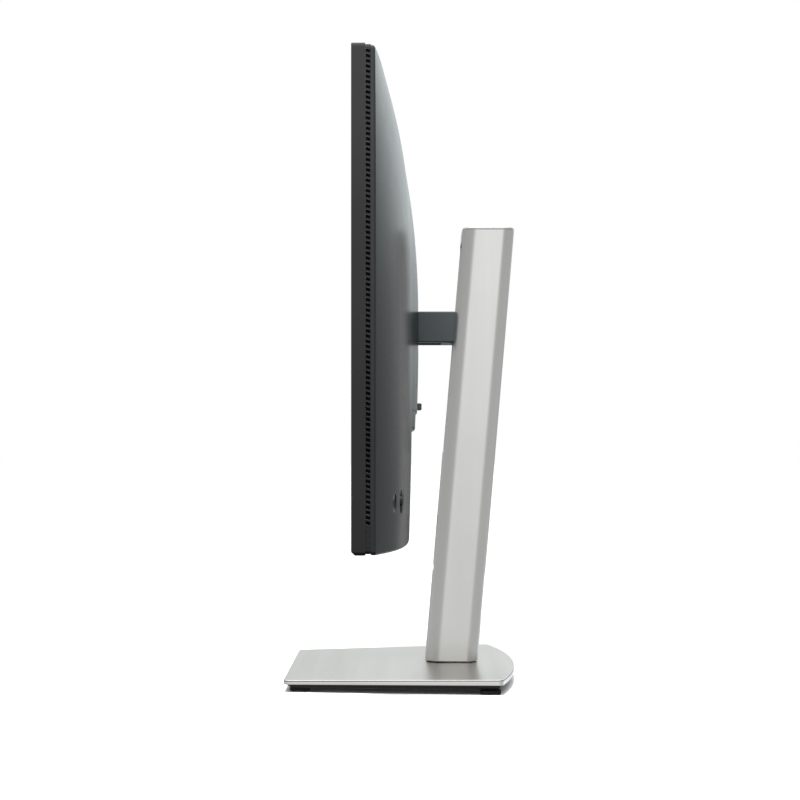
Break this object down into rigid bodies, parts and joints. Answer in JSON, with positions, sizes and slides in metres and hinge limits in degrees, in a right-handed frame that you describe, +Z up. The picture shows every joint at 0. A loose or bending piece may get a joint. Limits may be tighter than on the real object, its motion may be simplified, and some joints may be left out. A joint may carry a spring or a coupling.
{
  "type": "computer monitor",
  "caption": "Flat desktop monitor with a vented pillow-shaped rear cover on a leaning column stand that swivels, tilts, pivots and changes height.",
  "frame": {"origin": "on the desk, at the centre of the object's footprint box", "axes": "+Z up, the screen faces -Y, +X to the right of a viewer looking along +Y at the screen"},
  "size_m": [0.6112, 0.1921, 0.4776],
  "materials": {
    "frame_plastic": "fine matt moulded texture",
    "cover_plastic": "fine matt moulded texture, grey",
    "trim_plastic": "satin moulded",
    "black_plastic": "matt moulded",
    "glide_plastic": "smooth acetal",
    "lens": "clear moulded lens",
    "panel_glass": "anti-glare panel face",
    "film": "thin diffuser films",
    "acrylic": "clear acrylic plate",
    "circuit_board": "fibreglass board with parts",
    "ferrite": "ferrite core with winding",
    "can_metal": "sleeved aluminium cans",
    "port_metal": "plated shell",
    "sheet_steel": "galvanised sheet",
    "steel": "zinc-plated steel",
    "spring_steel": "blued spring band",
    "cast_zinc": "plain casting",
    "arm_paint": "fine matt paint",
    "column_paint": "satin silver",
    "base_satin": "satin silver with bright edge",
    "rubber": "soft rubber"
  },
  "bodies": {
    "base": {"base_cover": "base_satin", "base_weight": "sheet_steel", "base_pan": "black_plastic", "rubber_feet": "rubber", "swivel_washer": "glide_plastic"},
    "column": {"column": "column_paint", "column_cap": "column_paint", "cable_slot_trim": "trim_plastic", "column_foot": "cast_zinc", "rod_holders": "cast_zinc", "slide_rods": "steel", "spool_pin": "steel", "swivel_disc": "cast_zinc", "column_screws": "steel", "swivel_retainer": "steel"},
    "spool": {"spring_spool": "glide_plastic", "spring_coil": "spring_steel"},
    "screw": {"captive_screw": "steel"},
    "handle": {"screw_handle": "steel"},
    "carriage": {"arm": "arm_paint", "carriage": "cast_zinc", "carriage_bushes": "glide_plastic", "tilt_shaft": "steel", "tilt_washers": "steel"},
    "tilt_block": {"tilt_bracket": "steel", "pivot_shaft": "steel", "pivot_nut": "steel", "pivot_washer": "steel"},
    "power_key": {"power_button": "cover_plastic"},
    "stick_plunger": {"joystick_plunger": "black_plastic"},
    "stick_gimbal": {"joystick_gimbal": "black_plastic"},
    "stick": {"joystick_cap": "cover_plastic"},
    "release": {"release_button": "cover_plastic", "release_latch": "steel"},
    "head": {"front_frame": "frame_plastic", "bottom_bezel": "frame_plastic", "power_light": "lens", "lcd_panel": "panel_glass", "diffuser_sheets": "film", "light_guide": "acrylic", "led_strip": "circuit_board", "backlight_tray": "sheet_steel", "vent_frame": "frame_plastic", "rear_cover": "cover_plastic", "cover_screws": "steel", "electronics_chassis": "sheet_steel", "main_board": "circuit_board", "power_board": "circuit_board", "power_transformer": "ferrite", "capacitors": "can_metal", "port_plate": "sheet_steel", "hdmi_port": "port_metal", "displayport_port": "port_metal", "usb_c_port": "port_metal", "usb_a_ports": "port_metal", "ac_inlet": "black_plastic", "mount_bracket": "sheet_steel", "key_board": "circuit_board", "mounting_plate": "steel", "mount_cover": "cover_plastic"}
  },
  "joints": [
    {"name": "swivel", "type": "hinge", "parent": "base", "child": "column", "pos_m": [0, 0.0424, 0.0124], "axis": [0, 0, 1], "range_deg": [-45, 45]},
    {"name": "height", "type": "slide", "parent": "column", "child": "carriage", "axis": [0, 0.0847, 0.9964], "range_m": [-0.093, 0.057]},
    {"name": "tilt", "type": "hinge", "parent": "carriage", "child": "tilt_block", "pos_m": [0, 0.022, 0.2996], "axis": [-1, 0, 0], "range_deg": [-5, 21]},
    {"name": "pivot", "type": "hinge", "parent": "tilt_block", "child": "head", "pos_m": [0, 0.004, 0.2996], "axis": [0, 1, 0], "range_deg": [-4, 26]},
    {"name": "power_press", "type": "slide", "parent": "head", "child": "power_key", "axis": [0, -1, 0], "range_m": [0, 0.0008], "stiffness_N_per_m": 600},
    {"name": "stick_press", "type": "slide", "parent": "head", "child": "stick_plunger", "axis": [0, -1, 0], "range_m": [0, 0.0006], "stiffness_N_per_m": 900},
    {"name": "stick_up_down", "type": "hinge", "parent": "stick_plunger", "child": "stick_gimbal", "pos_m": [0.228, -0.0108, 0.1568], "axis": [1, 0, 0], "range_deg": [-6, 6], "stiffness_Nm_per_rad": 0.02},
    {"name": "stick_left_right", "type": "hinge", "parent": "stick_gimbal", "child": "stick", "pos_m": [0.228, -0.0108, 0.1568], "axis": [0, 0, 1], "range_deg": [-6, 6], "stiffness_Nm_per_rad": 0.02},
    {"name": "release_press", "type": "slide", "parent": "head", "child": "release", "axis": [0, 0, 1], "range_m": [0, 0.003], "stiffness_N_per_m": 500},
    {"name": "screw_turn", "type": "hinge", "parent": "column", "child": "screw", "pos_m": [0, 0.0424, 0.01], "axis": [0, 0, 1], "continuous": true},
    {"name": "handle_fold", "type": "hinge", "parent": "screw", "child": "handle", "pos_m": [0, 0.0424, 0.0049], "axis": [-1, 0, 0], "range_deg": [0, 90]},
    {"name": "spool_turn", "type": "hinge", "parent": "column", "child": "spool", "pos_m": [0, 0.08266, 0.353], "axis": [1, 0, 0], "range_deg": [-458, 745]}
  ],
  "couplings": [
    {"joint": "spool_turn", "follows": "height", "rad_per_m": -138.9}
  ]
}
